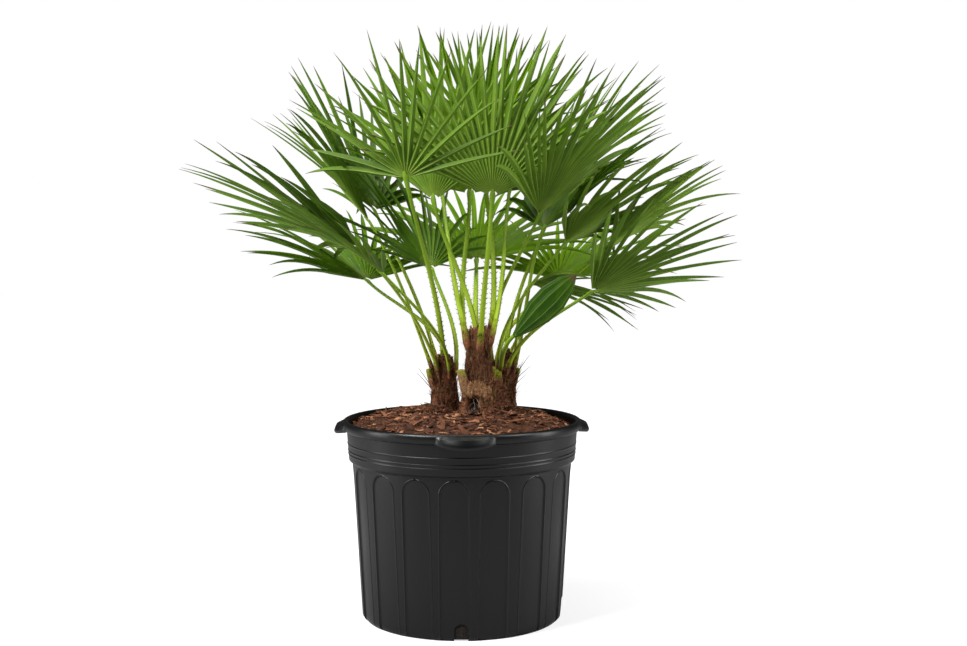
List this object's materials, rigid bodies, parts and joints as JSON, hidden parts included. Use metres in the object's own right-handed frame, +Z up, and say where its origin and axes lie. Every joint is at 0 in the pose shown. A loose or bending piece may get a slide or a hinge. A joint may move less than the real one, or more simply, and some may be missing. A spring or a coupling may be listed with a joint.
{
  "type": "potted fan palm",
  "caption": "Small multi-stemmed fan palm with spiny petioles and stiff pleated fans, in a ribbed round nursery pot topped with bark mulch.",
  "frame": {"origin": "centre of the pot's underside, on the surface it stands on", "axes": "+Z up along the pot's axis, -Y towards the front grip and the viewer, +X to the viewer's right"},
  "size_m": [1.0587, 0.8662, 1.1303],
  "materials": {
    "black_plastic": "satin black moulded polyethylene",
    "root_ball": "dark potting soil matted with roots",
    "bark_mulch": "reddish-brown shredded bark",
    "stem_fibre": "brown matted fibre and cut leaf bases",
    "leaf_green": "leathery mid-green leaf, satin"
  },
  "bodies": {
    "root": {"pot": "black_plastic", "root_ball": "root_ball", "mulch": "bark_mulch", "stem_left": "stem_fibre", "stem_centre": "stem_fibre", "stem_right": "stem_fibre", "young_frond": "leaf_green", "frond_01": "leaf_green", "frond_02": "leaf_green", "frond_03": "leaf_green", "frond_04": "leaf_green", "frond_05": "leaf_green", "frond_06": "leaf_green", "frond_07": "leaf_green", "frond_08": "leaf_green", "frond_09": "leaf_green", "frond_10": "leaf_green", "frond_11": "leaf_green", "frond_12": "leaf_green", "frond_13": "leaf_green", "frond_14": "leaf_green", "frond_15": "leaf_green", "frond_16": "leaf_green", "frond_17": "leaf_green", "frond_18": "leaf_green", "frond_19": "leaf_green", "frond_20": "leaf_green", "frond_21": "leaf_green", "frond_22": "leaf_green"}
  },
  "joints": []
}
